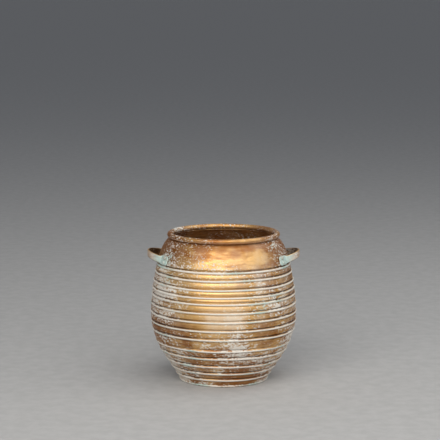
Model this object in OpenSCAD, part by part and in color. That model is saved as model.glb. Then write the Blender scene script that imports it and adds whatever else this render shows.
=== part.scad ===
// Bellied sheet-brass planter pot with fourteen swaged ribs, a wired lip,
// a soldered base on a foot ring and two riveted strap handles.
// Z is the axis of the pot and the foot ring stands on Z = 0.
// The handles lie on the X axis.

/* [Body] */
// Overall height, from the floor to the top of the lip
height = 245; // [204:1:294]
// Outer diameter of the plain wall at the widest band
belly_d = 238; // [198:1:286]
// Height of the widest band above the floor
belly_z = 112; // [93:1:135]
// Outer diameter of the wall at the foot
base_d = 148; // [123:1:178]
// Outer diameter of the neck just under the lip
neck_d = 176; // [146:1:200]
// Thickness of the brass sheet
wall = 1.2; // [0.8:0.1:1.6]

/* [Ribs] */
// Plain wall between the base fillet and the lowest rib
rib_low_gap = 1.3; // [0.5:0.1:4]
// Height that the top rib keeps below the lip's top
rib_top_drop = 52; // [43:0.5:63]
// Width of one rib bead
rib_w = 4; // [3:0.1:5]
// How far a bead stands out of the wall
rib_h = 1.8; // [1:0.1:2.2]
// Width of the groove on the upper side of each bead
groove_w = 2.5; // [2:0.1:3]
// Depth of that groove
groove_depth = 0.9; // [0.4:0.1:1.2]
// How far the sheet between two ribs bulges
band_crown = 0.7; // [0:0.1:1]

/* [Lip] */
// Diameter of the steel wire inside the lip
wire_d = 6.4; // [5:0.1:8]
// Opening between the curled edge and the neck, in degrees
curl_gap = 14; // [8:1:24]

/* [Seam] */
// Height of the overlap between the two shells
lap = 9; // [6:0.5:11]
// Leg of the solder fillets
fillet = 2; // [1.5:0.1:2.5]

/* [Base] */
// Height of the foot ring
foot_h = 4; // [3:0.5:6]
// Radial width of the foot ring
foot_w = 6; // [4:0.5:8]
// Thickness of the base disc
base_t = 1.5; // [1:0.1:2]
// Diameter of the drain hole
drain_d = 14; // [10:1:18]

/* [Handles] */
// Outside radius of a handle's round bow, seen from above
bow_r = 45; // [38:0.5:54]
// How far a handle stands out of the wall
handle_out = 19; // [17:0.5:26]
// Upward slope of a handle, in degrees
handle_tilt = 16; // [10:1:22]
// Width of the strap
strap_w = 12; // [9:0.5:13]
// How far the strap's middle lies below the middle of its feet
strap_drop = 1.2; // [0:0.1:2]
// Thickness of the strap
strap_t = 3.2; // [2.5:0.1:4.2]
// Length of each riveted foot along the wall
pad_len = 18; // [15:0.5:22]
// Height of each riveted foot
pad_tall = 15; // [13:0.5:16]
// Thickness of each riveted foot
pad_t = 2.6; // [2:0.1:3.2]

/* [Rivets] */
// Diameter of a rivet's shank
rivet_d = 3.6; // [3:0.1:4.4]
// Diameter of a rivet's round head
head_d = 6.4; // [5.4:0.1:6.8]
// Height of a rivet's round head
head_h = 1.9; // [1.4:0.1:2.4]
// Distance between the two rivets of one foot
rivet_pitch = 7.2; // [7:0.1:8.6]
// Outer diameter of the washer inside the wall
burr_d = 6.2; // [5.2:0.1:6.8]
// Thickness of that washer
burr_t = 1; // [0.6:0.1:1.4]

/* [Hidden] */
$fn = 96;

// Clearances: film of solder in a lap, wire in its curl, disc in its shell, foot on the wall, rivet in its hole,
// washer on the hollow side of the wall, and washer over the top rib's groove
film = 0.05;
wire_clear = 0.05;
disc_clear = 0.3;
pad_clear = 0.1;
rivet_clear = 0.1;
burr_clear = 0.1;
washer_gap = 0.15;

brass = [0.72, 0.53, 0.29];
worn_brass = [0.78, 0.68, 0.50];
steel = [0.45, 0.43, 0.41];
solder_grey = [0.62, 0.62, 0.60];

belly_r = belly_d / 2;
base_r = base_d / 2;
neck_r = neck_d / 2;
curl_r = wire_d / 2 + wire_clear + wall;
curl_z = height - curl_r;
neck_z = height - 2 * curl_r;
floor_z = foot_h + wall;
floor_top = floor_z + base_t;

// Fullness of the lower wall: a superellipse, then a power that draws the foot in
lower_round = 2.2;
lower_draw = 1.35;
// The upper wall falls in slowly over the belly and turns in fast at the neck
upper_fall = 1.8;
neck_turn = 12;
neck_share = 0.3;

// The ribs are laid out by hand, so their steps differ: from the lowest rib up, in shares of the ribbed height
rib_steps = [12, 13.5, 15, 13.5, 19.5, 14.5, 14.5, 14.5, 14.5, 10.5, 12, 14.5, 12.5];
rib_count = len(rib_steps) + 1;
rib_low_z = floor_top + fillet + rib_w / 2 + rib_low_gap;
rib_top_z = height - rib_top_drop;

function sum_to(list, n) = n <= 0 ? 0 : list[n - 1] + sum_to(list, n - 1);

rib_scale = (rib_top_z - rib_low_z) / sum_to(rib_steps, rib_count - 1);
rib_z = [for (i = [0:rib_count - 1]) rib_low_z + rib_scale * sum_to(rib_steps, i)];

// The shells lap in the groove over the fifth rib
seam_rib = 4;
seam_z = rib_z[seam_rib] + (rib_w + groove_w) / 2;

// Radius of the plain wall at height z, without ribs
function below_belly(z) = min(1, max(0, (belly_z - z) / (belly_z - foot_h)));
function above_belly(z) = min(1, max(0, (z - belly_z) / (neck_z - belly_z)));
function lower_r(z) = base_r
    + (belly_r - base_r) * pow(1 - pow(below_belly(z), lower_round), lower_draw);
function upper_drop(s) = (1 - neck_share) * pow(s, upper_fall) + neck_share * pow(s, neck_turn);
function upper_r(z) = belly_r - (belly_r - neck_r) * upper_drop(above_belly(z));
function wall_r(z) = z < belly_z ? lower_r(z) : upper_r(z);

// Slope of the wall, and its outward normal as [radial, vertical]
slope_step = 0.05;
function slope(z) = (wall_r(z + slope_step / 2) - wall_r(z - slope_step / 2)) / slope_step;
function normal(z) = [1, -slope(z)] / norm([1, -slope(z)]);

// A round bump of height 1 between -1 and 1
function bump(x) = abs(x) < 1 ? (1 + cos(180 * x)) / 2 : 0;

// Height of the sheet over the plain wall: beads, the grooves above them and the crowned bands between them
function bead_at(z, i) = rib_h * bump((z - rib_z[i]) / (rib_w / 2))
    - groove_depth * bump((z - rib_z[i] - (rib_w + groove_w) / 2) / (groove_w / 2));
function band_low(i) = rib_z[i] + rib_w / 2 + groove_w;
function band_high(i) = rib_z[i + 1] - rib_w / 2;
function band_share(z, i) = (z - band_low(i)) / (band_high(i) - band_low(i));
function crown_at(z, i) = z > band_low(i) && z < band_high(i) ? band_crown * sin(180 * band_share(z, i)) : 0;
function relief(z) = sum_to([for (i = [0:rib_count - 1]) bead_at(z, i)], rib_count)
    + sum_to([for (i = [0:rib_count - 2]) crown_at(z, i)], rib_count - 1);

// A point of the sheet's section, out from the relief surface by a distance
function skin(z, out) = [wall_r(z), z] + (relief(z) + out) * normal(z);
function plain(z, out) = [wall_r(z), z] + out * normal(z);

// Heights at which the section needs a point, from one rib to the next
bead_marks = [-0.5, -0.3, -0.13, 0.13, 0.3, 0.5];
groove_marks = [0.3, 0.5, 0.7, 1];
band_marks = [0.25, 0.5, 0.75];
function rib_marks(i) = concat(
    [for (m = bead_marks) rib_z[i] + m * rib_w],
    [for (m = groove_marks) rib_z[i] + rib_w / 2 + m * groove_w]
);
function band_points(i) = i < rib_count - 1
    ? [for (m = band_marks) band_low(i) + m * (band_high(i) - band_low(i))]
    : [];
function ribbed_marks(first, last) = [for (i = [first:last]) each concat(rib_marks(i), band_points(i))];
function above(list, z) = [for (v = list) if (v > z) v];
function below(list, z) = [for (v = list) if (v < z) v];
function between(list, low, high) = above(below(list, high), low);
function with_mark(list, z) = concat(below(list, z - slope_step), [z], above(list, z + slope_step));

// The smooth shoulder, from the top rib's groove to the neck, closer together towards the neck
shoulder_steps = 14;
shoulder_z = rib_z[rib_count - 1] + rib_w / 2 + groove_w;
shoulder_marks = [
    for (k = [1:shoulder_steps]) shoulder_z + (neck_z - shoulder_z) * sin(90 * k / shoulder_steps)
];

function reversed(list) = [for (k = [len(list) - 1:-1:0]) list[k]];
function on_curl(angle) = [neck_r, curl_z] + (curl_r - wall / 2) * [cos(angle), sin(angle)];

lap_top = seam_z + lap;
upper_ribs = with_mark(with_mark(ribbed_marks(seam_rib, rib_count - 1), lap_top), lap_top + fillet);
upper_marks = concat([seam_z], above(upper_ribs, seam_z + slope_step), shoulder_marks);
upper_section = concat(
    [for (z = upper_marks) skin(z, 0)],
    [on_curl(-92), on_curl(-125)],
    [for (z = reversed(upper_marks)) skin(z, -wall)]
);

// The lower shell drops into the upper one by a wall's thickness at the seam
joggle = wall + film;
lap_marks = concat([seam_z], between(upper_marks, seam_z, lap_top), [lap_top]);
lower_foot_marks = [foot_h, floor_top, floor_top + fillet];
lower_marks = concat(lower_foot_marks, below(ribbed_marks(0, seam_rib), rib_z[seam_rib] + rib_w * 0.51));
lower_section = concat(
    [[base_r - foot_w, foot_h]],
    [for (z = lower_marks) skin(z, 0)],
    [for (z = lap_marks) skin(z, -joggle)],
    [for (z = reversed(lap_marks)) skin(z, -joggle - wall)],
    [for (z = reversed(above(lower_marks, floor_z))) skin(z, -wall)],
    [[base_r - wall, floor_z], [base_r - foot_w, floor_z]]
);

// Everything inside the outer surface of the plain wall, with a clearance
function body_section(out) = concat(
    [[0, 0], [base_r + out, 0]],
    [for (k = [0:24]) plain(foot_h + (belly_z - foot_h) * k / 24, out)],
    [for (k = [1:24]) plain(belly_z + (neck_z - belly_z) * sin(90 * k / 24), out)],
    [[0, height]]
);

// Places of the handle: a bow round a point between the pot's axis and the wall, whose ends run into the wall
pad_z = rib_top_z + rib_w / 2 + groove_w + washer_gap + (burr_d + rivet_pitch) / 2;
pad_wall_r = wall_r(pad_z);
bow_x = pad_wall_r + handle_out - bow_r;

// Angle on the wall at which a circle round the bow's middle meets it
function bow_angle(radius) = acos(
    (pad_wall_r * pad_wall_r + bow_x * bow_x - radius * radius) / (2 * pad_wall_r * bow_x)
);

pad_start = bow_angle(bow_r - strap_t);
leg_angle = bow_angle(bow_r);
pad_end = leg_angle + pad_len / pad_wall_r * 180 / PI;
leg_root_x = pad_wall_r * cos(pad_start);
rivet_angle = (leg_angle + pad_end) / 2;
pad_marks = [for (k = [-3:3]) pad_z + pad_tall * k / 6];

// The strap seen from above: a ring that runs into the pot
module strap_plan() {
    translate([bow_x, 0])
        difference() {
            circle(bow_r);
            circle(bow_r - strap_t);
        }
}

// Space between two planes that rise outwards at the handle's slope
module sloped_slab() {
    translate([leg_root_x, 0, pad_z - strap_drop])
        rotate([0, -handle_tilt, 0])
            cube([8 * bow_r, 4 * bow_r, strap_w], center = true);
}

// Room outside the wall in which the strap and its feet lie
module inside_wall() {
    rotate_extrude()
        polygon(body_section(pad_clear));
}

// A foot on the wall, bent away from the strap's leg
module pad() {
    rotate([0, 0, pad_start])
        rotate_extrude(angle = pad_end - pad_start)
            polygon(concat(
                [for (z = pad_marks) plain(z, pad_clear)],
                [for (z = reversed(pad_marks)) plain(z, pad_t)]
            ));
}

// Puts a child at each rivet of one handle, with its Z axis along the wall's outward normal
module at_rivets() {
    for (side = [-1, 1], level = [-0.5, 0.5]) {
        z = pad_z + level * rivet_pitch;
        rotate([0, 0, side * rivet_angle])
            translate([wall_r(z), 0, z])
                rotate([0, 90 + atan(slope(z)), 0])
                    children();
    }
}

module rivet_holes() {
    at_rivets()
        translate([0, 0, -5])
            cylinder(d = rivet_d + 2 * rivet_clear, h = 12);
}

module handle() {
    difference() {
        union() {
            difference() {
                intersection() {
                    linear_extrude(height)
                        strap_plan();
                    sloped_slab();
                }
                inside_wall();
            }
            pad();
            mirror([0, 1, 0])
                pad();
        }
        rivet_holes();
    }
}

// A round head: the cap of a sphere
module round_head(d, h) {
    ball_r = (d * d / 4 + h * h) / (2 * h);
    intersection() {
        translate([0, 0, h - ball_r])
            sphere(ball_r);
        cylinder(d = d, h = h);
    }
}

// Lower face of a washer, from the outer surface of the plain wall
burr_low = -wall - burr_clear - burr_t;

// One rivet: round head outside, shank, and a closed end inside the washer
module rivet() {
    translate([0, 0, burr_low])
        cylinder(d = rivet_d, h = pad_t - burr_low);
    translate([0, 0, pad_t])
        round_head(head_d, head_h);
    translate([0, 0, burr_low])
        mirror([0, 0, 1])
            round_head(rivet_d * 1.5, head_h * 0.6);
}

module burr() {
    translate([0, 0, burr_low])
        difference() {
            cylinder(d = burr_d, h = burr_t);
            translate([0, 0, -1])
                cylinder(d = rivet_d + 2 * rivet_clear, h = burr_t + 2);
        }
}

module left_side() {
    mirror([1, 0, 0])
        children();
}

module upper_shell() {
    color(brass)
        difference() {
            union() {
                rotate_extrude()
                    polygon(upper_section);
                lip_curl();
            }
            rivet_holes();
            left_side()
                rivet_holes();
        }
}

// The sheet's edge curled outwards round the wire
module lip_curl() {
    difference() {
        rotate_extrude()
            translate([neck_r, curl_z])
                circle(curl_r);
        rotate_extrude()
            translate([neck_r, curl_z])
                circle(curl_r - wall);
        rotate_extrude()
            polygon(concat(
                [[neck_r, curl_z]],
                [for (a = [-72, -72 + curl_gap]) [neck_r, curl_z] + 2 * curl_r * [cos(a), sin(a)]]
            ));
    }
}

module lower_shell() {
    color(brass)
        rotate_extrude()
            polygon(lower_section);
}

module rim_wire() {
    color(steel)
        rotate_extrude()
            translate([neck_r, curl_z])
                circle(d = wire_d);
}

module base_disc() {
    color(brass)
        translate([0, 0, floor_z])
            difference() {
                cylinder(r = base_r - wall - disc_clear, h = base_t);
                translate([0, 0, -1])
                    cylinder(d = drain_d, h = base_t + 2);
            }
}

// Half-round brass strip under the turned-in edge of the lower shell
module foot_ring() {
    color(worn_brass)
        rotate_extrude() {
            translate([base_r - foot_w, 0])
                square([foot_w - foot_h / 2, foot_h]);
            translate([base_r - foot_h / 2, foot_h / 2])
                circle(d = foot_h);
        }
}

// Fillet over the top edge of the lower shell, inside the pot
module seam_solder() {
    color(solder_grey)
        rotate_extrude()
            polygon([
                skin(lap_top, -joggle - wall),
                skin(lap_top, -wall),
                skin(lap_top + fillet, -wall),
            ]);
}

// Fillet round the base disc, against the lower shell
module base_solder() {
    disc_r = base_r - wall - disc_clear;
    color(solder_grey)
        rotate_extrude()
            polygon([
                [disc_r - fillet, floor_top],
                [disc_r, floor_top],
                skin(floor_top, -wall),
                skin(floor_top + fillet, -wall),
            ]);
}

module handle_right() {
    color(worn_brass)
        handle();
}

module handle_left() {
    color(worn_brass)
        left_side()
            handle();
}

module rivets_right() {
    color(brass)
        at_rivets()
            rivet();
}

module rivets_left() {
    color(brass)
        left_side()
            at_rivets()
                rivet();
}

module burrs_right() {
    color(brass)
        at_rivets()
            burr();
}

module burrs_left() {
    color(brass)
        left_side()
            at_rivets()
                burr();
}

upper_shell();
lower_shell();
rim_wire();
base_disc();
foot_ring();
seam_solder();
base_solder();
handle_right();
handle_left();
rivets_right();
rivets_left();
burrs_right();
burrs_left();
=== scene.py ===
"""A bellied brass planter with swaged ribs, a wired lip, a foot ring and two riveted strap handles."""

import math

import bpy
import numpy as np
from bpy.props import FloatProperty, FloatVectorProperty, PointerProperty
from bpy.types import Operator, Panel, PropertyGroup
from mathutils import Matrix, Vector


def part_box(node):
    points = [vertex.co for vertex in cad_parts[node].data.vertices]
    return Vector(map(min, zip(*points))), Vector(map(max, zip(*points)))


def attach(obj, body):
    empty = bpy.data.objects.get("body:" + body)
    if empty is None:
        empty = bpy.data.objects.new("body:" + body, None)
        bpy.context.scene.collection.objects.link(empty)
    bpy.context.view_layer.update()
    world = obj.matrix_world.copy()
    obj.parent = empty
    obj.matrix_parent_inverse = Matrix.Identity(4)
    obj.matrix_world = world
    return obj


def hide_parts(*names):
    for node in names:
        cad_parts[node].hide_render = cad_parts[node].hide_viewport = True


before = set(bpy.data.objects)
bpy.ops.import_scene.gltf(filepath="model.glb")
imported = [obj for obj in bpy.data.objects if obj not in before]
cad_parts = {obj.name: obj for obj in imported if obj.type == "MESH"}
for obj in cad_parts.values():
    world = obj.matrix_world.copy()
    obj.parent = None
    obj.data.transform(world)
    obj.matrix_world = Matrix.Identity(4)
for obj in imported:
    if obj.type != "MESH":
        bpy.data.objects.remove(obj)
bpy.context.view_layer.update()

bl_info = {
    "name": "Ribbed Brass Planter",
    "version": (1, 0, 0),
    "blender": (4, 5, 0),
    "location": "View3D > Sidebar > Planter",
    "description": "Builds a bellied brass planter with swaged ribs, a wired lip and two strap handles",
    "category": "Add Mesh",
}

MM = 0.001
BODY = "root"

# Places that come from the frame
LIP_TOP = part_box("upper_shell")[1].z
SEAM_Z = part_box("upper_shell")[0].z
FOOT_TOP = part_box("foot_ring")[1].z
FOOT_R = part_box("foot_ring")[1].x
DISC_LOW, DISC_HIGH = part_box("base_disc")
HANDLE_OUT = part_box("handle_right")[1].x
WIRE_LOW, WIRE_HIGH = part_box("rim_wire")

CURL_GAP = 0.05 * MM  # between the wire and the sheet curled round it
FLANGE = 6 * MM  # width of the foot ring, and of the shell's turned-in edge on it
SOFT_EDGE = 0.4 * MM  # rounding of the foot ring's and the disc's edges
CORNER = 0.9 * MM  # width of the dirt and painted shade in the corner under a bead
WASHER_HOLE_GAP = 0.1 * MM  # between a rivet and its washer's hole
WALL_R = 0.115  # mean radius of the wall, in metres
WANDER_IN, WANDER_OUT = 8 * MM, 6 * MM  # over which the ribs start to wander and stop
WANDER_OVER = 2 * MM  # height over the top rib where they have stopped
SENSOR = 36  # width of the camera's sensor, in mm

# Points round each kind of piece
SHELL_SIDES, LIP_SIDES, FOOT_SIDES, DISC_SIDES, FILLET_SIDES = 248, 256, 240, 144, 200
STRAP_SIDES, RIVET_SIDES, WASHER_SIDES = 40, 28, 20
# Points along the strap's foot, its bend and half of its bow
FOOT_ROWS, BEND_ROWS, BOW_ROWS = 26, 12, 44


# ---- sizes and colours


def distance(name, description, default):
    """A length property, in metres."""
    return FloatProperty(name=name, description=description, default=default, unit="LENGTH", precision=4)


def share(name, description, default):
    """A plain factor from 0 to 1."""
    return FloatProperty(name=name, description=description, default=default, min=0, max=1, subtype="FACTOR")


def colour(name, description, default):
    """A colour property."""
    return FloatVectorProperty(
        name=name, description=description, default=default, size=3, min=0, max=1, subtype="COLOR"
    )

def slope(name, description, degrees):
    """An angle property."""
    return FloatProperty(name=name, description=description, default=math.radians(degrees), subtype="ANGLE")


class PotSizes(PropertyGroup):
    belly_r: distance("Belly", "Radius of the plain wall at the widest band", 119 * MM)
    belly_z: distance("Belly height", "Height of the widest band", 112 * MM)
    base_r: distance("Base", "Radius of the wall where it meets the foot ring", FOOT_R)
    neck_r: distance("Neck", "Radius of the neck under the lip", 88 * MM)
    wall: distance("Wall", "Thickness of the sheet", 1.2 * MM)
    rib_low: distance("Lowest rib", "Height of the lowest rib", 12 * MM)
    rib_high: distance("Top rib", "Height of the top rib", LIP_TOP - 52 * MM)
    rib_w: distance("Rib width", "Width of one bead", 4 * MM)
    rib_h: distance("Rib height", "How far a bead stands out", 1.7 * MM)
    groove_w: distance("Groove width", "Width of the groove over a bead", 2.5 * MM)
    groove_depth: distance("Groove depth", "Depth of that groove", 1.1 * MM)
    crown: distance("Band crown", "How far the sheet between two ribs bulges", 0.7 * MM)
    lap: distance("Lap", "Overlap of the two shells", 9 * MM)
    film: distance("Solder film", "Gap between the lapped shells", 0.05 * MM)
    unevenness: distance("Unevenness", "How far a rib wanders up and down", 0.55 * MM)
    fillet: distance("Fillet", "Leg of the solder fillets", 2 * MM)
    drain_r: distance("Drain hole", "Radius of the drain hole", 7 * MM)


class HandleSizes(PropertyGroup):
    bow_r: distance("Bow", "Outside radius of the round bow, seen from above", 45 * MM)
    reach: distance("Reach", "Distance from the axis of the pot to the outer face", HANDLE_OUT)
    tilt: slope("Tilt", "Upward slope", 16)
    strap_t: distance("Strap thickness", "Thickness of the strap", 3.2 * MM)
    strap_w: distance("Strap width", "Width of the strap in its bow", 12 * MM)
    strap_drop: distance("Strap drop", "How far the strap lies below the middle of its feet", 1.2 * MM)
    foot_bend_r: distance("Foot bend", "Radius of the bend from a foot into the bow", 4 * MM)
    pad_len: distance("Foot length", "Length of a riveted foot along the wall", 18 * MM)
    pad_tall: distance("Foot height", "Height of a riveted foot", 15 * MM)
    pad_t: distance("Foot thickness", "Height of a foot's outer face over the wall", 2.6 * MM)
    pad_clear: distance("Foot gap", "Gap between a foot and the wall", 0.1 * MM)
    rivet_d: distance("Rivet", "Diameter of a rivet's shank", 3.6 * MM)
    head_d: distance("Rivet head", "Diameter of a rivet's head", 6.4 * MM)
    head_h: distance("Head height", "Height of a rivet's head", 1.9 * MM)
    pitch: distance("Rivet pitch", "Distance between the two rivets of a foot", 7.2 * MM)
    burr_d: distance("Washer", "Outer diameter of a rivet's washer", 6.2 * MM)
    burr_t: distance("Washer thickness", "Thickness of a rivet's washer", 1.0 * MM)
    burr_clear: distance("Washer gap", "Gap between a washer and the wall", 0.1 * MM)
    washer_gap: distance("Washer over groove", "Gap between the lower washer and the top groove", 0.15 * MM)


class PatinaLook(PropertyGroup):
    gold: colour("Gold", "Brass where it is rubbed bright", (0.82, 0.50, 0.19))
    brown: colour("Brown", "Brass where it is tarnished", (0.37, 0.140, 0.028))
    # Soot colours the grooves, the corners under the beads, the strap's inner face and underside, the lip's
    # underside and the foot's underside: dirt and painted shade
    soot_and_shade: colour("Soot_and_shade", "Dirt in the grooves", (0.050, 0.025, 0.012))
    chalk: colour("Chalk", "White patina", (0.78, 0.755, 0.69))
    verdigris: colour("Verdigris", "Blue-green patina", (0.48, 0.62, 0.58))
    chalk_cover: share("Chalk cover", "How much of the plain wall the white patina covers", 0.34)
    tarnish: share("Tarnish", "How much of the brass has gone brown", 0.5)


class StageSizes(PropertyGroup):
    camera_away: distance("Camera distance", "Distance of the camera from the axis of the pot", 2.758)
    camera_up: distance("Camera height", "Height of the camera over the floor", 0.6594)
    camera_side: distance("Camera offset", "Sideways place of the camera", -0.0058)
    camera_dip: slope("Camera dip", "Downward slope of the view", 8.168)
    lens: FloatProperty(name="Lens", description="Focal length on a 36 mm sensor, in mm", default=139.1)
    floor_half: distance("Floor", "Half the side of the floor", 60.0)
    floor_colour: colour("Floor colour", "Pale floor", (0.45, 0.447, 0.442))
    room_colour: colour("Room colour", "Light of the room all round", (0.21, 0.22, 0.24))


# ---- shape of the pot

# Steps between neighbouring ribs, from the lowest up, as shares of the ribbed height
RIB_STEPS = np.array([12, 13.5, 15, 13.5, 19.5, 14.5, 14.5, 14.5, 14.5, 10.5, 12, 14.5, 12.5])
SEAM_RIB = 4

# Places on the wall: angle in degrees, height in mm, half width in degrees and half height in mm.
# Rubbed bright: the two spots at the back are wear; the belly and neck spots at the front are painted
# highlights
RUBBED_AND_HIGHLIT = [(-103, 158, 36, 52), (70, 150, 44, 50), (-58, 212, 15, 12), (150, 190, 20, 22)]
# White where hard water has dried
LIMED = [(-45, 131, 13, 12), (-101, 77, 11, 4), (-74, 73, 9, 4), (-96, 25, 7, 9), (-24, 86, 8, 5)]
LIMED += [(-128, 60, 10, 8), (-152, 160, 12, 18), (-62, 52, 12, 5), (30, 140, 14, 10), (95, 78, 20, 6)]
LIMED += [(128, 112, 12, 9), (64, 30, 9, 9), (-146, 116, 16, 10), (-152, 84, 18, 7), (-38, 100, 12, 6)]
LIMED += [(-30, 165, 9, 12), (-112, 96, 12, 6)]
# Under a thin, even white film
FILMED = [(-52, 182, 21, 40), (-44, 150, 15, 24), (-84, 120, 26, 16), (150, 150, 26, 34), (60, 205, 20, 14)]
# Heights in mm over which the neck begins, the patina thickens downwards, and damp rises from the foot
NECK_ZONE, LOW_ZONE, FOOT_ZONE = (198, 222), (122, 72), (10, 0)
# Damp, by the handles' feet
DAMP = [(side + half, 202, 13, 17) for side in (0, 180) for half in (-27, 27)]
# Shallow dents of the plain wall: angle in degrees, height, half width and depth in mm
DENTS = [(-128, 158, 13, 0.7), (-62, 92, 11, 0.6), (-96, 224, 14, 0.5), (35, 120, 15, 0.8)]
DENTS += [(118, 172, 12, 0.6)]


def unit(values):
    """Values clipped to between 0 and 1."""
    return np.clip(values, 0, 1)


def curl_radius(pot):
    """Outer radius of the curled lip: the wire and the sheet round it."""
    return (WIRE_HIGH.z - WIRE_LOW.z) / 2 + CURL_GAP + pot.wall


def neck_height(pot):
    """Height of the wall's upper end, under the curl."""
    return LIP_TOP - 2 * curl_radius(pot)


def rib_heights(pot):
    """Heights of the ribs: the steps scaled to the ribbed zone and summed."""
    along = np.concatenate([[0], np.cumsum(RIB_STEPS)]) / RIB_STEPS.sum()
    return pot.rib_low + along * (pot.rib_high - pot.rib_low)


def wall_radius(z, pot):
    """Radius of the plain wall. Below the belly, a superellipse of the height raised to a power;
    above it, the belly less a slow power of the height and a fast one that turns in at the neck."""
    below = unit((pot.belly_z - z) / (pot.belly_z - FOOT_TOP))
    above = unit((z - pot.belly_z) / (neck_height(pot) - pot.belly_z))
    low = pot.base_r + (pot.belly_r - pot.base_r) * (1 - below**2.2) ** 1.35
    high = pot.belly_r - (pot.belly_r - pot.neck_r) * (0.7 * above**1.8 + 0.3 * above**12)
    return np.where(z < pot.belly_z, low, high)


def wall_normal(z, pot):
    """Outward unit normal of the plain wall, as its radial and its vertical part."""
    step = 0.02 * MM
    slope = (wall_radius(z + step, pot) - wall_radius(z - step, pot)) / (2 * step)
    length = np.sqrt(1 + slope**2)
    return 1 / length, -slope / length


def hump(x):
    """A round hump of height 1 over -1 to 1, with its crest a little above its middle."""
    leaning = x - 0.3 * (1 - x**2)
    return unit(1 - leaning**2) ** 0.8 * (np.abs(x) < 1)


def rib_masks(z, pot):
    """How much of a bead, a groove, a crowned band and the corner below a bead there is at each height,
    0 to 1."""
    ribs = rib_heights(pot)
    over = z[..., None] - ribs
    bead = hump(over / (pot.rib_w / 2)).sum(-1)
    groove = hump((over - (pot.rib_w + pot.groove_w) / 2) / (pot.groove_w / 2)).sum(-1)
    below = unit(1 - np.abs(over + pot.rib_w / 2) / CORNER).sum(-1)
    low = ribs[:-1] + pot.rib_w / 2 + pot.groove_w
    high = ribs[1:] - pot.rib_w / 2
    along = (z[..., None] - low) / (high - low)
    band = np.sin(np.pi * unit(along)).sum(-1)
    return bead, groove, band, below


def wander(turn, rise, seed, waves=6, drift=60):
    """A smooth wobble round the pot that changes with height: a sum of sines whose counts, phases and
    drifts differ. About -1 to 1."""
    picks = np.random.default_rng(seed)
    total = 0 * turn + 0 * rise
    for count in range(1, waves + 1):
        phase, lean = picks.uniform(0, 2 * np.pi), picks.uniform(-drift, drift)
        total = total + np.sin(count * turn + lean * rise + phase) / count**0.6
    return total / 2.2


def dents(turn, z):
    """Depth of the dents: a round Gaussian hollow at each place."""
    total = 0 * turn * z
    for angle, height, half_width, depth in DENTS:
        apart = (turn - math.radians(angle) + np.pi) % (2 * np.pi) - np.pi
        across = (apart * WALL_R) ** 2 + (z - height * MM) ** 2
        total = total + depth * MM * np.exp(-across / (half_width * MM) ** 2)
    return total


def sheet_surface(rows, turn, out, pot):
    """The sheet's surface at the heights in rows and the angles in turn, a distance out from its outer
    face: the plain wall, moved along its normal by the bead, groove and crown at each height less the
    dents. A rib wanders up and down and varies in height round the pot. Returns points and masks."""
    z0 = rows[:, None]
    free = unit((z0 - FOOT_TOP) / WANDER_IN) * unit((pot.rib_high + WANDER_OVER - z0) / WANDER_OUT)
    z = z0 + pot.unevenness * wander(turn, z0, seed=3, drift=70) * free
    bead, groove, band, below = (mask[:, None] for mask in rib_masks(rows, pot))
    strong = 0.86 + 0.14 * wander(turn, z0, seed=5, waves=9, drift=140)
    deep = 0.9 + 0.3 * wander(turn, z0, seed=8, waves=11, drift=160)
    full = 0.55 + 0.45 * wander(turn, z0, seed=13, waves=5, drift=90)
    relief = pot.rib_h * bead * np.minimum(strong, 1) - pot.groove_depth * groove * deep
    relief = relief + pot.crown * band * full
    radial, upward = wall_normal(z, pot)
    lift = relief + out - dents(turn, z)
    radius = wall_radius(z, pot) + lift * radial
    height = z + lift * upward
    points = np.stack([radius * np.cos(turn), radius * np.sin(turn), height], -1)
    # The groove mask darkens the groove over each bead and the corner under it: dirt and painted shade
    masks = {"crest": bead, "groove": np.maximum(groove, 0.35 * below)}
    return points, masks | ageing(turn, height)


def soft_spots(turn, high, places):
    """A sum of Gaussians of the angle and of the height in mm, one about each place."""
    total = 0
    for angle, middle, half_turn, half_high in places:
        apart = (np.degrees(turn) - angle + 180) % 360 - 180
        total = total + np.exp(-((apart / half_turn) ** 2) - ((high - middle) / half_high) ** 2)
    return total


def part_way(value, start, end):
    """How far a value is from start to end, 0 to 1."""
    return unit((value - start) / (end - start))


def ageing(turn, height):
    """How rubbed, filmed, chalky and damp the wall is: rubbed and filmed are soft spots at their places, the
    rubbed mask being wear at the back and a painted highlight at the front, and it falls below 0 on the neck
    as painted shade; chalk grows towards the foot and the handles and at each limed place;
    damp gathers by the handles' feet and on the foot. Up to 1."""
    high = height / MM
    neck = part_way(high, *NECK_ZONE)
    # Rubbed wear and painted highlight from the spots, lowered on the neck as painted shade
    rubbed_and_painted_light = soft_spots(turn, high, RUBBED_AND_HIGHLIT) - 0.25 * neck
    low = part_way(high, *LOW_ZONE)
    chalk = 0.16 + 0.08 * low * low * (3 - 2 * low) + 0.3 * np.cos(turn) ** 2 - 0.16 * neck
    chalk = chalk + 0.16 * wander(turn, height, seed=17) + 0.29 * soft_spots(turn, high, LIMED)
    damp = soft_spots(turn, high, DAMP)
    damp = damp + part_way(high, *FOOT_ZONE) * (0.5 + 0.5 * wander(turn, height, seed=19))
    chalk = chalk + 0.35 * unit(damp)
    spread = {"filmed": soft_spots(turn, high, FILMED), "chalk": chalk, "damp": damp}
    return {"rubbed_and_painted_light": np.clip(rubbed_and_painted_light, -1, 1)} | {key: unit(values) for key, values in spread.items()}


def ring_points(radius, height, turn):
    """Points of revolution: each radius and height turned through the angles in turn."""
    radius, height, turn = np.broadcast_arrays(radius, height, turn)
    return np.stack([radius * np.cos(turn), radius * np.sin(turn), height], -1)


def turns(count):
    """Angles round the pot, as one row."""
    return np.linspace(0, 2 * np.pi, count, endpoint=False)[None, :]


def column(*values):
    """Values one under another, one to a row of a grid."""
    return np.array(values)[:, None]


def squared(wave, power):
    """A sine or cosine raised to a power with its sign kept, which squares off a round section."""
    return np.sign(wave) * np.abs(wave) ** power


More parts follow.
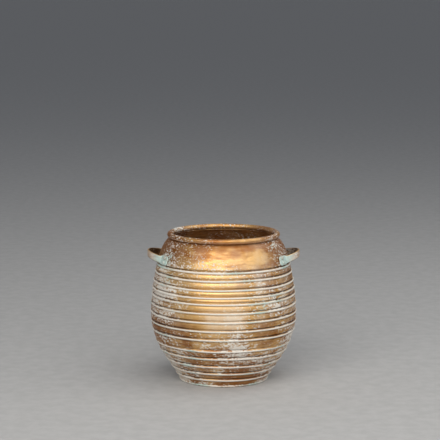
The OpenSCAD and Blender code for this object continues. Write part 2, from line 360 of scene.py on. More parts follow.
def rib_rows(first, last, pot):
    """Heights for the ribs from first to last: close over each bead and groove, wider over the band."""
    ribs = rib_heights(pot)
    marks = []
    for rib in range(first, last + 1):
        marks.append(ribs[rib] + pot.rib_w * np.linspace(-0.5, 0.5, 10))
        groove_low = ribs[rib] + pot.rib_w / 2
        marks.append(groove_low + pot.groove_w * np.linspace(0.17, 1, 6))
        if rib < len(ribs) - 1:
            low, high = groove_low + pot.groove_w, ribs[rib + 1] - pot.rib_w / 2
            marks.append(np.linspace(low, high, 7)[1:-1])
    return np.concatenate(marks)


# ---- meshes


def grid_faces(rows, columns, closed=True):
    """Four-sided faces of a grid of points. Its last column joins its first, and its rows do if closed."""
    down = np.arange(rows if closed else rows - 1)[:, None]
    across = np.arange(columns)[None, :]
    next_down, next_across = (down + 1) % rows, (across + 1) % columns
    corners = ((down, across), (down, next_across), (next_down, next_across), (next_down, across))
    corners = [row * columns + place for row, place in corners]
    return np.stack(np.broadcast_arrays(*corners), -1).reshape(-1, 4)


def cap_faces(ring, pole, flip):
    """Triangles from a ring of points to one point in its middle."""
    following = np.roll(ring, -1)
    fan = np.stack([ring, following, np.full_like(ring, pole)], -1)
    return fan[:, ::-1] if flip else fan


def volume(points, faces):
    """Signed volume inside faces: a sum of tetrahedra from the origin. Positive when they face outward."""
    corners = points[faces]
    total = 0.0
    for last in range(2, faces.shape[1]):
        total += (corners[:, 0] * np.cross(corners[:, last - 1], corners[:, last])).sum()
    return total / 6


def capped(points, start, end):
    """Points and faces of a tube of rows, closed by a fan to a pole at its start and one at its end."""
    rows, columns = points.shape[:2]
    ring, count = np.arange(columns), rows * columns
    fans = [cap_faces(ring, count, True), cap_faces(ring + count - columns, count + 1, False)]
    return np.concatenate([points.reshape(-1, 3), [start, end]]), [grid_faces(rows, columns, False), *fans]


def new_object(name, data):
    """An object in the scene, at the origin."""
    made = bpy.data.objects.new(name, data)
    bpy.context.scene.collection.objects.link(made)
    return made


def add_piece(name, solids, slot, node, masks=None):
    """Makes one closed, outward-facing, smooth mesh object from (points, list of face arrays) solids,
    with its masks as point attributes, and puts it on the pot's body in the place of a CAD node."""
    all_points, loops, sizes, offset = [], [], [], 0
    for points, groups in solids:
        points = points.reshape(-1, 3)
        inside_out = sum(volume(points, faces) for faces in groups) < 0
        for faces in groups:
            faces = faces[:, ::-1] if inside_out else faces
            loops.append((faces + offset).ravel())
            sizes.append(np.full(len(faces), faces.shape[1]))
        all_points.append(points)
        offset += len(points)
    points, loops, sizes = np.concatenate(all_points), np.concatenate(loops), np.concatenate(sizes)
    mesh = bpy.data.meshes.new(name)
    mesh.vertices.add(len(points))
    mesh.vertices.foreach_set("co", points.astype(np.float32).ravel())
    mesh.loops.add(len(loops))
    mesh.loops.foreach_set("vertex_index", loops.astype(np.int32))
    mesh.polygons.add(len(sizes))
    starts = np.concatenate([[0], np.cumsum(sizes)[:-1]])
    mesh.polygons.foreach_set("loop_start", starts.astype(np.int32))
    mesh.update(calc_edges=True)
    mesh.validate()
    mesh.polygons.foreach_set("use_smooth", np.ones(len(mesh.polygons), dtype=bool))
    for mask_name, values in (masks or {}).items():
        layer = mesh.attributes.new(mask_name, "FLOAT", "POINT")
        layer.data.foreach_set("value", np.ascontiguousarray(values, np.float32).ravel())
    mesh.materials.append(material_of(slot))
    piece = new_object(name, mesh)
    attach(piece, BODY)
    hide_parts(node)


def add_ring(name, parts, masks, slot, node):
    """Makes a piece of one closed loop of rows: grids of points stacked row over row, with their masks,
    where a mask that a part lacks is zero."""
    points, layers = np.concatenate(parts), {}
    for key in dict.fromkeys(key for mask in masks for key in mask):
        spread = [mask.get(key, 0) + np.zeros(part.shape[:2]) for part, mask in zip(parts, masks)]
        layers[key] = np.concatenate(spread)
    add_piece(name, [(points, [grid_faces(*points.shape[:2])])], slot, node, layers)


# ---- shader groups and materials

WHITE, BLACK = (1.0, 1.0, 1.0, 1.0), (0.0, 0.0, 0.0, 1.0)


class Tree:
    """Short calls for making nodes in a material or a group."""

    def __init__(self, tree):
        self.tree = tree

    def add(self, kind, **settings):
        made = self.tree.nodes.new(kind)
        for key, value in settings.items():
            setattr(made, key, value)
        return made

    def put(self, value, socket):
        """Links a socket, or sets a plain value."""
        if isinstance(value, bpy.types.NodeSocket):
            self.tree.links.new(value, socket)
        else:
            socket.default_value = value

    def fill(self, sockets, **values):
        """Puts each value into the socket of its name."""
        for key, value in values.items():
            self.put(value, sockets[key])

    def math(self, operation, *values, clamp=False):
        made = self.add("ShaderNodeMath", operation=operation, use_clamp=clamp)
        for value, socket in zip(values, made.inputs):
            self.put(value, socket)
        return made.outputs[0]

    def times(self, one, other):
        return self.math("MULTIPLY", one, other)

    def scaled(self, value, factor, plus):
        """A value times a factor, plus a number."""
        return self.math("MULTIPLY_ADD", value, factor, plus)

    def blend(self, factor, low, high, kind="FLOAT"):
        """Blends two numbers, or two colours where kind is RGBA."""
        made = self.add("ShaderNodeMix", data_type=kind)
        first, result = (6, 2) if kind == "RGBA" else (2, 0)
        for value, socket in zip((factor, low, high), (made.inputs[0], *made.inputs[first : first + 2])):
            self.put(value, socket)
        return made.outputs[result]

    def mix(self, factor, low, high):
        """Blends two colours."""
        return self.blend(factor, low, high, "RGBA")

    def band(self, value, low, high):
        """0 below low, 1 above high, and between them a smooth ramp."""
        made = self.add("ShaderNodeMapRange", interpolation_type="SMOOTHSTEP")
        for given, socket in zip((value, low, high), made.inputs):
            self.put(given, socket)
        return made.outputs[0]

    def edged(self, value, edge, below, above):
        """A smooth ramp from a little below an edge to a little above it."""
        return self.band(value, self.math("SUBTRACT", edge, below), self.math("ADD", edge, above))

    def noise(self, scale, detail, rough, squeeze=1.0, shift=(0, 0, 0), twist=0.0):
        """Noise on Object coordinates, squeezed in height by a factor and shifted to a part of its own."""
        place = self.add("ShaderNodeMapping")
        self.put(self.add("ShaderNodeTexCoord").outputs["Object"], place.inputs[0])
        self.fill(place.inputs, Location=shift, Scale=(1, 1, squeeze))
        made = self.add("ShaderNodeTexNoise")
        self.fill(made.inputs, Vector=place.outputs[0], Scale=scale, Detail=detail)
        self.fill(made.inputs, Roughness=rough, Distortion=twist)
        return made.outputs[0]

    def mask(self, name):
        return self.add("ShaderNodeAttribute", attribute_name=name).outputs["Fac"]

    def bump(self, height, strength, depth, normal):
        """Feeds a normal from a height, with the bump's strength and its depth in metres."""
        made = self.add("ShaderNodeBump")
        self.fill(made.inputs, Strength=strength, Distance=depth, Height=height)
        self.put(made.outputs[0], normal)


def new_group(name, inputs, outputs):
    """An empty shader group with sockets of the given names and starting values, a colour where the value
    is a tuple. Returns it, its Tree, and the sockets to read and to fill."""
    group = bpy.data.node_groups.new(name, "ShaderNodeTree")
    for way, sockets in (("INPUT", inputs), ("OUTPUT", outputs)):
        for key, start in sockets.items():
            kind = "NodeSocketColor" if isinstance(start, tuple) else "NodeSocketFloat"
            group.interface.new_socket(key, in_out=way, socket_type=kind).default_value = start
    tree = Tree(group)
    return group, tree, tree.add("NodeGroupInput").outputs, tree.add("NodeGroupOutput").inputs


def tarnish_group():
    """Brass colour and roughness that run from gold to brown in cloudy, slightly lengthwise patches, with
    more gold where it is rubbed and at the painted highlights, and the soot colour in the grooves and on
    shaded faces as dirt and painted shade, fainter at the painted highlight."""
    name = "Tarnish"
    if name in bpy.data.node_groups:
        return bpy.data.node_groups[name]
    inputs = {"Gold": WHITE, "Brown": BLACK, "Soot_and_shade": BLACK, "Amount": 0.5, "Rubbed": 0.0, "Groove": 0.0}
    outputs = {"Color": BLACK, "Roughness": 0.5, "Height": 0.0}
    group, tree, given, result = new_group(name, inputs, outputs)
    clouds = tree.noise(scale=16, detail=3, rough=0.6, squeeze=1.6, twist=0.4)
    streaks = tree.noise(scale=34, detail=6, rough=0.65, squeeze=6, shift=(3, 1, 7))
    grain = tree.noise(scale=230, detail=3, rough=0.6, squeeze=9, shift=(5, 2, 1))
    depth = tree.scaled(clouds, 0.62, tree.times(streaks, 0.38))
    # More gold where this mask is high: rubbed wear, and painted highlight at the front spots; less on the
    # neck, as painted shade
    edge = tree.scaled(given["Rubbed"], 0.26, 0.6)
    edge = tree.math("SUBTRACT", edge, tree.times(given["Amount"], 0.3))
    brown = tree.edged(depth, edge, 0.13, 0.13)
    base = tree.mix(brown, given["Gold"], given["Brown"])
    base = tree.mix(tree.times(tree.band(grain, 0.5, 0.75), 0.35), base, given["Brown"])
    # Dirt and painted shade: the soot colour in the grooves, under the beads and on shaded faces, fainter at
    # the painted highlight
    dirt_and_shade = tree.times(tree.band(given["Groove"], 0.02, 0.5), tree.band(streaks, 0.15, 0.5))
    dirt_and_shade = tree.times(dirt_and_shade, tree.scaled(given["Rubbed"], -0.55, 0.95))
    tree.put(tree.mix(dirt_and_shade, base, given["Soot_and_shade"]), result["Color"])
    tree.put(tree.scaled(grain, 0.16, tree.blend(brown, 0.36, 0.48)), result["Roughness"])
    tree.put(tree.scaled(streaks, 0.5, tree.times(grain, 0.5)), result["Height"])
    return group


def patina_group():
    """White patina: on the crests of the ribs, in torn lengthwise streaks on the bands, in specks, and as
    a thin haze that has run down the wall. Less of the loose patina in the grooves and on shaded faces, to
    keep the painted shade dark. None where it is rubbed bare, and none on the strap's underside, which is
    painted shade. Part of it is tinted blue-green where it is damp. Gives the cover of each and a height."""
    name = "White patina"
    if name in bpy.data.node_groups:
        return bpy.data.node_groups[name]
    inputs = {"Cover": 0.4, "Crest": 0.0, "Groove": 0.0, "Bare_and_shade": 0.0, "Damp": 0.0, "Specks": 0.5, "Haze": 0.3}
    outputs = {"White": 0.0, "Green": 0.0, "Height": 0.0}
    group, tree, given, result = new_group(name, inputs, outputs)
    patches = tree.noise(scale=13, detail=2, rough=0.5, squeeze=1.3, shift=(2, 9, 4))
    torn = tree.noise(scale=80, detail=8, rough=0.74, squeeze=3.6, shift=(8, 3, 2), twist=0.3)
    fine = tree.noise(scale=290, detail=4, rough=0.62, squeeze=1.4, shift=(1, 6, 3))
    runs = tree.noise(scale=30, detail=4, rough=0.6, squeeze=0.3, shift=(4, 4, 4))
    mixed = tree.scaled(torn, 0.6, tree.times(patches, 0.4))
    mixed = tree.scaled(tree.math("SUBTRACT", fine, 0.5), 0.5, mixed)
    edge = tree.math("SUBTRACT", 0.72, tree.times(given["Cover"], 0.3))
    streak = tree.edged(mixed, edge, 0.03, 0.06)
    spots = tree.times(tree.band(fine, 0.56, 0.62), given["Specks"])
    spots = tree.times(spots, tree.band(tree.scaled(given["Cover"], 0.3, patches), 0.5, 0.75))
    worn = tree.band(tree.scaled(fine, 0.5, torn), 0.5, 0.85)
    ridge = tree.times(tree.band(given["Crest"], 0.3, 0.75), tree.blend(worn, 0.7, 1.0))
    loose = tree.math("MAXIMUM", tree.times(streak, 0.88), spots)
    haze = tree.times(tree.band(runs, 0.34, 0.66), given["Haze"])
    loose = tree.math("MAXIMUM", loose, haze)
    # Less loose patina where the groove mask is high: the grooves, and the faces that carry painted shade
    loose = tree.times(loose, tree.scaled(given["Groove"], -0.75, 1.0))
    white = tree.math("MAXIMUM", ridge, loose, clamp=True)
    white = tree.math("MULTIPLY", white, tree.math("SUBTRACT", 1.0, given["Bare_and_shade"]), clamp=True)
    tree.put(white, result["White"])
    damp = tree.noise(scale=24, detail=3, rough=0.5, shift=(7, 7, 1))
    damp = tree.scaled(given["Crest"], 0.1, tree.scaled(given["Damp"], 0.3, damp))
    tree.put(tree.band(damp, 0.58, 0.82), result["Green"])
    tree.put(tree.scaled(fine, 0.35, white), result["Height"])
    return group


def rgba(values):
    """A colour with full alpha."""
    return (*values, 1.0)


def group_node(tree, group, **values):
    """Places a group with its own values."""
    made = tree.add("ShaderNodeGroup", node_tree=group)
    tree.fill(made.inputs, **values)
    return made.outputs


def new_material(name):
    """A material with nodes. Returns it, its Tree and its shader's sockets."""
    made = bpy.data.materials.new(name)
    made.use_nodes = True
    return made, Tree(made.node_tree), made.node_tree.nodes["Principled BSDF"].inputs


def aged_brass(name, cover, tarnish, specks=1.0, haze=0.10, even=None):
    """Brass under tarnish and white patina: the metal from one group, the patina from the other. The patina
    is rough and not metallic, and stands a little proud of the metal. Crests, grooves, and rubbed, filmed,
    chalky, damp and bare places are attributes of the mesh, or the same all over where even gives them. The
    groove mask carries dirt and painted shade, the rubbed mask wear and painted highlight and shade, and the
    bare mask wear and painted shade."""
    look = bpy.context.scene.planter_patina
    made, tree, shader = new_material(name)
    marks = ("crest", "groove", "rubbed_and_painted_light", "filmed", "chalk", "damp", "bare_and_shade")
    masks = [tree.mask(mark) if even is None else even.get(mark, 0.0) for mark in marks]
    crest, groove, rubbed_and_painted_light, filmed, chalk, damp, bare_and_shade = masks
    colours = {"Gold": rgba(look.gold), "Brown": rgba(look.brown), "Soot_and_shade": rgba(look.soot_and_shade)}
    metal = group_node(tree, tarnish_group(), Amount=tarnish, Rubbed=rubbed_and_painted_light, Groove=groove, **colours)
    if even is None:
        cover = tree.scaled(chalk, 0.75, cover)
        haze = tree.scaled(filmed, 0.5, haze)
    places = {"Crest": crest, "Groove": groove, "Bare_and_shade": bare_and_shade, "Damp": damp}
    patina = group_node(tree, patina_group(), Cover=cover, Specks=specks, Haze=haze, **places)
    white = patina["White"]
    powder = tree.mix(patina["Green"], rgba(look.chalk), rgba(look.verdigris))
    tree.put(tree.mix(white, metal["Color"], powder), shader["Base Color"])
    tree.put(tree.blend(white, 0.95, 0.1), shader["Metallic"])
    tree.put(tree.blend(white, metal["Roughness"], 0.7), shader["Roughness"])
    height = tree.scaled(metal["Height"], 0.35, patina["Height"])
    tree.bump(height, strength=0.5, depth=0.25 * MM, normal=shader["Normal"])
    return made


def dull_metal(name, light, dark, metallic, rough, scale):
    """Plain metal with cloudy colour and roughness, for wire and solder."""
    made, tree, shader = new_material(name)
    shader["Metallic"].default_value = metallic
    clouds = tree.noise(scale, detail=5, rough=0.6)
    tree.put(tree.mix(tree.band(clouds, 0.35, 0.65), rgba(light), rgba(dark)), shader["Base Color"])
    tree.put(tree.scaled(clouds, 0.3, rough - 0.15), shader["Roughness"])
    tree.bump(clouds, strength=0.4, depth=0.2 * MM, normal=shader["Normal"])
    return made


# Slots of aged brass that differ from the pot's own
AGED = {
    "handle_brass": {"cover": 0.45, "tarnish": 0.4},
    "rivet_brass": {"cover": 1.0, "tarnish": 0.55, "even": {"crest": 0.6, "damp": 0.7}},
    "foot_brass": {"cover": 0.6, "tarnish": 0.6},
    "base_brass": {"cover": 0.4, "tarnish": 1.0, "specks": 0.2, "even": {}},
}
# Slots of dull metal: light and dark colour, metallic, roughness and scale of the clouds
DULL = {
    "solder": ((0.36, 0.36, 0.35), (0.2, 0.19, 0.18), 0.7, 0.55, 160),
    "lip_wire": ((0.3, 0.28, 0.27), (0.16, 0.12, 0.1), 0.9, 0.5, 90),
}


def material_of(slot):
    """The material of a slot, made the first time it is asked for."""
    look = bpy.context.scene.planter_patina
    finish = slot.replace("_", " ") + " aged"
    if finish in bpy.data.materials:
        return bpy.data.materials[finish]
    if slot in DULL:
        return dull_metal(finish, *DULL[slot])
    return aged_brass(finish, **AGED.get(slot, {"cover": look.chalk_cover, "tarnish": look.tarnish}))


# ---- operators

INSIDE = {"groove": 0.14}  # masks of the faces that look inwards: a little darkening


class PLANTER_OT_shells(Operator):
    """The two ribbed shells and the curled lip"""

    bl_idname = "planter.shells"
    bl_label = "Shells and Lip"

    def execute(self, context):
        pot = context.scene.planter_pot
        self.upper(pot)
        self.lip(pot)
        self.lower(pot)
        return {"FINISHED"}

    def upper(self, pot):
        """A closed loop of rows: the outer face from the seam up to the neck, then the inner face down."""
        turn = turns(SHELL_SIDES)
        rows = rib_rows(SEAM_RIB, len(RIB_STEPS), pot)
        rows = rows[rows > SEAM_Z + 0.1 * MM]
        shoulder = np.sin(np.linspace(0, np.pi / 2, 34))[1:]
        rows = np.concatenate([[SEAM_Z], rows, rows[-1] + (neck_height(pot) - rows[-1]) * shoulder])
        outer, marks = sheet_surface(rows, turn, 0, pot)
        inner, _ = sheet_surface(rows[::-2], turn, -pot.wall, pot)
        add_ring("pot_upper", [outer, inner], [marks, INSIDE], "pot_brass", "upper_shell")

    def lip(self, pot):
        """The curl's section is an open ring: an arc outside from the neck over the top to the free edge,
        and an arc inside back to the neck. Its radius wobbles a little, inwards only."""
        turn = turns(LIP_SIDES)
        neck_end, free_end = 262, -56  # degrees round the wire
        outside = np.radians(np.linspace(neck_end, free_end, 44))[:, None]
        radius = curl_radius(pot)
        squash = 1 - 0.035 * (1 + wander(turn, outside * 0.02, seed=21, waves=9, drift=20)) / 2
        free_edge = np.radians(5) * wander(turn, 0, seed=22, waves=12)
        angle = outside + free_edge * part_way(np.degrees(outside), 20, free_end)
        middle, wide, back = LIP_TOP - radius, radius * squash, angle[::-2]
        thin = wide[::-2] - pot.wall
        outer = ring_points(pot.neck_r + wide * np.cos(angle), middle + wide * np.sin(angle), turn)
        inner = ring_points(pot.neck_r + thin * np.cos(back), middle + thin * np.sin(back), turn)
        lower = unit(1 - ((angle + 0.45) / 0.5) ** 2)
        # under: the curl's underside darkened through the groove mask, painted shade
        under = unit((-0.75 - np.sin(angle)) * 4)
        marks = {"crest": 0.45 * lower, "groove": under, "chalk": 0.1 + 0.3 * np.cos(turn) ** 2}
        add_ring("pot_lip", [outer, inner], [marks, INSIDE], "pot_brass", "upper_shell")

    def lower(self, pot):
        """A closed loop of rows: the turned-in edge, the outer face up to the seam, the part that laps
        inside the upper shell, and the inner face back down."""
        turn = turns(SHELL_SIDES)
        rows = rib_rows(0, SEAM_RIB, pot)
        rows = rows[rows < rib_heights(pot)[SEAM_RIB] + 0.51 * pot.rib_w]
        rows = np.concatenate([np.linspace(FOOT_TOP, rows[0], 7)[:-1], rows])
        lap = np.linspace(SEAM_Z, SEAM_Z + pot.lap, 8)
        inside = rows[rows > FOOT_TOP + 2.5 * MM][::-2]
        sunk, edge = pot.wall + pot.film, pot.base_r - FLANGE
        outer, marks = sheet_surface(rows, turn, 0, pot)
        hidden = [(lap, -sunk), (lap[::-1], -sunk - pot.wall), (inside, -pot.wall)]
        hidden = [sheet_surface(heights, turn, out, pot)[0] for heights, out in hidden]
        flange_out = ring_points(column(edge, pot.base_r - 1 * MM), FOOT_TOP, turn)
        flange_in = ring_points(column(pot.base_r - pot.wall, edge), FOOT_TOP + pot.wall, turn)
        parts = [flange_out, outer, *hidden, flange_in]
        add_ring("pot_lower", parts, [INSIDE, marks, *[INSIDE] * 4], "pot_brass", "lower_shell")


class PLANTER_OT_base(Operator):
    """The base disc, the foot ring and the solder fillets"""

    bl_idname = "planter.base"
    bl_label = "Base"

    def execute(self, context):
        pot = context.scene.planter_pot
        self.foot(pot)
        self.disc(pot)
        self.solder(pot)
        return {"FINISHED"}

    def foot(self, pot):
        """A D-shaped section, round outside and flat inside, whose outer face wears unevenly."""
        turn = turns(FOOT_SIDES)
        half, inner = FOOT_TOP / 2, FOOT_R - FLANGE
        arc = np.radians(np.linspace(-90, 90, 20))[:, None]
        worn = 0.12 * MM * (1 + wander(turn, 0, seed=31, waves=14)) / 2
        round_face = ring_points(FOOT_R - half + (half - worn) * np.cos(arc), half + half * np.sin(arc), turn)
        back = ring_points(
            column(inner + SOFT_EDGE, inner, inner, inner + SOFT_EDGE),
            column(FOOT_TOP, FOOT_TOP - SOFT_EDGE, SOFT_EDGE, 0),
            turn,
        )
        marks = {
            "crest": unit(np.cos(arc)) ** 2 * 0.6,
            # groove darkens the underside of the round face: painted shade
            "groove": unit(-np.sin(arc) * 1.5 - 0.6),
            "chalk": 0.4,
            "damp": 0.4 + 0.5 * wander(turn, 0, seed=33),
        }
        add_ring("foot_band", [round_face, back], [marks, INSIDE], "foot_brass", "foot_ring")

    def disc(self, pot):
        """A flat disc, very slightly hollow, whose edges and drain hole are rounded over."""
        turn = turns(DISC_SIDES)
        rim, low, high, hole_r = DISC_HIGH.x, DISC_LOW.z, DISC_HIGH.z, pot.drain_r
        across = np.linspace(hole_r + SOFT_EDGE, rim - SOFT_EDGE, 36)[:, None]
        hollow = 0.25 * MM * (1 - (across / rim) ** 2) * (1 + 0.6 * wander(turn, across, seed=41))
        under = ring_points(across, low, turn)
        over = ring_points(across[::-1], high - hollow[::-1], turn)
        edge = ring_points(column(rim, rim), column(low + SOFT_EDGE, high - SOFT_EDGE), turn)
        hole = ring_points(column(hole_r, hole_r), column(high - 2 * SOFT_EDGE, low + SOFT_EDGE), turn)
        add_ring("floor_disc", [under, edge, over, hole], [{}], "base_brass", "base_disc")

    def solder(self, pot):
        """Two hollow-faced fillets: a corner at the wall, and an arc between its two legs."""
        self.fillet("seam_fillet", "seam_solder", pot, SEAM_Z + pot.lap, pot.wall * 2 + pot.film)
        self.fillet("base_fillet", "base_solder", pot, DISC_HIGH.z, pot.wall + pot.fillet)

    def fillet(self, name, node, pot, z, reach):
        """One fillet: rows up the wall, then a hollow arc back down to the ledge at z."""
        turn = turns(FILLET_SIDES)
        against, _ = sheet_surface(z + np.linspace(0, pot.fillet, 5), turn, -pot.wall, pot)
        tip, _ = sheet_surface(np.array([z]), turn, -reach, pot)
        along = np.linspace(0, 1, 10)[1:-1][:, None, None]
        corner, top = against[:1], against[-1:]
        lumps = 1.2 + 0.12 * wander(turn, 0, seed=51, waves=16)[..., None]
        sag = (corner - (top + tip) / 2) * along * (1 - along) * lumps
        hollow = top * (1 - along) + tip * along + sag
        add_ring(name, [against, hollow, tip], [{}], "solder", node)


def pad_height(pot, handle):
    """Height of the middle of a handle's feet: the lower washer just clears the top rib's groove."""
    washers = (handle.burr_d + handle.pitch) / 2
    return pot.rib_high + pot.rib_w / 2 + pot.groove_w + handle.washer_gap + washers


def bow_turn(pot, handle, radius):
    """Angle on the wall at which a circle round the bow's middle meets it: the law of cosines."""
    wall = float(wall_radius(np.array(pad_height(pot, handle)), pot))
    middle = handle.reach - handle.bow_r
    return math.acos((wall**2 + middle**2 - radius**2) / (2 * wall * middle)), wall


def foot_turns(pot, handle):
    """Angles at which the free part of a foot begins and ends, from the handle's middle."""
    start, wall = bow_turn(pot, handle, handle.bow_r)
    return start, start + handle.pad_len / wall


class PLANTER_OT_handles(Operator):
    """The two strap handles"""

    bl_idname = "planter.handles"
    bl_label = "Handles"

    def execute(self, context):
        pot, handle = context.scene.planter_pot, context.scene.planter_handle
        for side, name, node in ((1, "strap_right", "handle_right"), (-1, "strap_left", "handle_left")):
            points, faces, masks = self.strap(pot, handle, side)
            add_piece(name, [(points, faces)], "handle_brass", node, masks)
        return {"FINISHED"}

    def arc(self, x, y, radius, angles, foot, facing=1):
        """Points of an arc about a middle, outward directions and how much each point belongs to the foot."""
        flat_x, flat_y = np.cos(angles), np.sin(angles)
        return x + radius * flat_x, y + radius * flat_y, facing * flat_x, facing * flat_y, foot

    def path(self, pot, handle):
        """Half of the strap's middle line in plan, from the end of a foot to the middle of the bow: an arc
        on the wall, a small arc tangent to the wall's and the bow's circles, and the bow's arc."""
        on_wall = bow_turn(pot, handle, handle.bow_r)[1] + (handle.pad_t + handle.pad_clear) / 2
        ring, small = handle.bow_r - handle.strap_t / 2, handle.foot_bend_r
        middle = handle.reach - handle.bow_r
        bend_x = ((on_wall + small) ** 2 - (ring + small) ** 2 + middle**2) / (2 * middle)
        bend_y = -math.sqrt((on_wall + small) ** 2 - bend_x**2)
        bend_turn = math.atan2(bend_y, bend_x)
        foot = np.linspace(-foot_turns(pot, handle)[1], bend_turn, FOOT_ROWS)
        bend = np.linspace(bend_turn + np.pi, math.atan2(-bend_y, middle - bend_x), BEND_ROWS)[1:]
        bow = np.linspace(math.atan2(bend_y, bend_x - middle), 0, BOW_ROWS)[1:]
        left_over = 0.35  # of the foot, where the bow begins
        turning = np.linspace(1, left_over, BEND_ROWS)[1:]
        fading = unit(left_over - 0.07 * np.arange(1, BOW_ROWS))
        pieces = [
            self.arc(0, 0, on_wall, foot, 1 + 0 * foot),
            self.arc(bend_x, bend_y, small, bend, turning, facing=-1),
            self.arc(middle, 0, ring, bow, fading),
        ]
        return [np.concatenate(parts) for parts in zip(*pieces)]

    def strap(self, pot, handle, side):
        """A rounded rectangle carried along the path. Its middle rises outwards at the handle's slope, it
        is taller on the feet, follows the wall's slope there, and its two ends are rounded off."""
        path = zip(self.path(pot, handle), (1, -1, 1, -1, 1))
        x, y, out_x, out_y, foot = (np.concatenate([half, sign * half[-2::-1]]) for half, sign in path)
        along = np.concatenate([[0], np.cumsum(np.hypot(np.diff(x), np.diff(y)))])
        end = np.minimum(along, along[-1] - along)
        root_turn, wall = bow_turn(pot, handle, handle.bow_r - handle.strap_t)
        root_x = wall * math.cos(root_turn)
        on_foot = foot * foot * (3 - 2 * foot)
        slant = (x - root_x) * math.tan(handle.tilt) - handle.strap_drop
        rise = pad_height(pot, handle) + (1 - on_foot) * slant
        bow_half = handle.strap_w / 2 / math.cos(handle.tilt)
        outward = unit((x - root_x) / (handle.reach - root_x))
        half = on_foot * handle.pad_tall / 2 + (1 - on_foot) * bow_half * (1.03 - 0.1 * outward)
        corner_r, tip = 4 * MM, 0.9 * MM  # of the foot's corners, and of its thinned end
        near_end = unit(1 - end / corner_r)
        half = half - corner_r * (1 - np.sqrt(1 - near_end**2)) * 0.999
        thick = on_foot * (handle.pad_t - handle.pad_clear) + (1 - on_foot) * handle.strap_t
        thick = thick * np.sqrt(np.clip(end / tip, 0.02, 1))
        around = turns(STRAP_SIDES)
        wobble = 1 - 0.03 * (1 + wander(along[:, None] * 60, around, seed=61, waves=7, drift=2))
        across = thick[:, None] / 2 * squared(np.cos(around), power=0.42) * wobble
        up = half[:, None] * squared(np.sin(around), power=0.42) * wobble
        z = rise[:, None]
        push = across + (wall_radius(z + up, pot) - wall_radius(z, pot)) * on_foot[:, None]
        plan_x, plan_y = x[:, None] + out_x[:, None] * push, y[:, None] + out_y[:, None] * push
        points = np.stack([side * plan_x, plan_y, z + up], -1)
        flat, faces = capped(points, points[0].mean(0), points[-1].mean(0))
        # The inner face gets the groove darkening and no crest patina, and the lower edge the groove
        # darkening and no patina: painted shade. The top edge is rubbed bare.
        outer = unit(np.cos(around) * 3 + 0.4)
        top_edge = unit(np.sin(around) * 4 - 2.8) * (1 - 0.8 * on_foot[:, None])
        underside_shade = unit(-np.sin(around) * 3 - 1.7) * (1 - on_foot[:, None])
        near_root = unit(1 - (x - root_x) / (21 * MM))[:, None]
        layers = {
            "crest": outer * (0.52 + 0.28 * near_root),
            "groove": np.maximum(0.8 * (1 - outer), underside_shade),
            "bare_and_shade": np.maximum(top_edge, underside_shade),
            "rubbed_and_painted_light": top_edge,
            "chalk": 0.1 + 0.5 * near_root,
            "damp": near_root * outer,
        }
        shape = np.zeros(points.shape[:2])
        masks = {key: np.append((layer + shape).ravel(), [0, 0]) for key, layer in layers.items()}
        return flat, faces, masks


class PLANTER_OT_rivets(Operator):
    """The handles' rivets and their washers"""

    bl_idname = "planter.rivets"
    bl_label = "Rivets and Washers"

    def execute(self, context):
        pot, handle = context.scene.planter_pot, context.scene.planter_handle
        for side, word in ((1, "right"), (-1, "left")):
            frames = self.places(pot, handle, side)
            rivets = [self.rivet(pot, handle, place, 71 + number) for number, place in enumerate(frames)]
            add_piece(f"rivet_heads_{word}", rivets, "rivet_brass", f"rivets_{word}")
            washers = [self.washer(pot, handle, place) for place in frames]
            add_piece(f"washers_{word}", washers, "rivet_brass", f"burrs_{word}")
        return {"FINISHED"}

    def places(self, pot, handle, side):
        """For each rivet, its point on the plain wall and its outward, sideways and upward directions."""
        angle = sum(foot_turns(pot, handle)) / 2
        frames = []
        for half in (-1, 1):
            for level in (-0.5, 0.5):
                z = pad_height(pot, handle) + level * handle.pitch
                radial, upward = (float(part) for part in wall_normal(np.array(z), pot))
                radius = float(wall_radius(np.array(z), pot))
                flat = np.array([side * math.cos(angle), half * math.sin(angle), 0])
                out = flat * radial + np.array([0, 0, upward])
                sideways = np.cross([0, 0, 1], flat)
                frames.append((flat * radius + np.array([0, 0, z]), out, sideways, np.cross(out, sideways)))
        return frames

    def turned(self, place, radius, height):
        """A profile of radii and heights turned about a rivet's own axis."""
        point, out, sideways, up = place
        turn = turns(RIVET_SIDES)[..., None]
        spokes = np.cos(turn) * sideways + np.sin(turn) * up
        return point + radius[..., None] * spokes + height[..., None] * out

    def rivet(self, pot, handle, place, seed):
        """Domed head, shank and closed end, turned about one axis. The head is hammered a little uneven."""
        low = -pot.wall - handle.burr_clear - handle.burr_t
        dome = np.radians(np.linspace(88, 8, 12))
        head_r, shank_r, end_r = handle.head_d / 2, handle.rivet_d / 2, handle.rivet_d * 0.75
        head_h, end_h, seat = handle.head_h, handle.head_h * 0.6, handle.pad_t
        straight_r, straight_z = [head_r, shank_r, shank_r, end_r], [seat + 0.02 * MM, seat, low, low]
        radius = np.concatenate([head_r * np.cos(dome), straight_r, end_r * np.cos(dome[::-1])])
        height = np.concatenate([seat + head_h * np.sin(dome), straight_z, low - end_h * np.sin(dome[::-1])])
        hammered = 1 - 0.05 * (1 + wander(turns(RIVET_SIDES), 0, seed, waves=5)) / 2
        points = self.turned(place, radius[:, None] * hammered, height[:, None])
        point, out = place[:2]
        return capped(points, point + out * (seat + head_h), point + out * (low - end_h))

    def washer(self, pot, handle, place):
        """A ring with rounded edges, turned about the rivet's axis."""
        section = turns(WASHER_SIDES).T
        hole, rim = handle.rivet_d / 2 + WASHER_HOLE_GAP, handle.burr_d / 2
        middle = -pot.wall - handle.burr_clear - handle.burr_t / 2
        radius = (hole + rim) / 2 + (rim - hole) / 2 * squared(np.cos(section), power=0.5)
        height = middle + handle.burr_t / 2 * squared(np.sin(section), power=0.5)
        points = self.turned(place, radius, height)
        return points, [grid_faces(*points.shape[:2])]


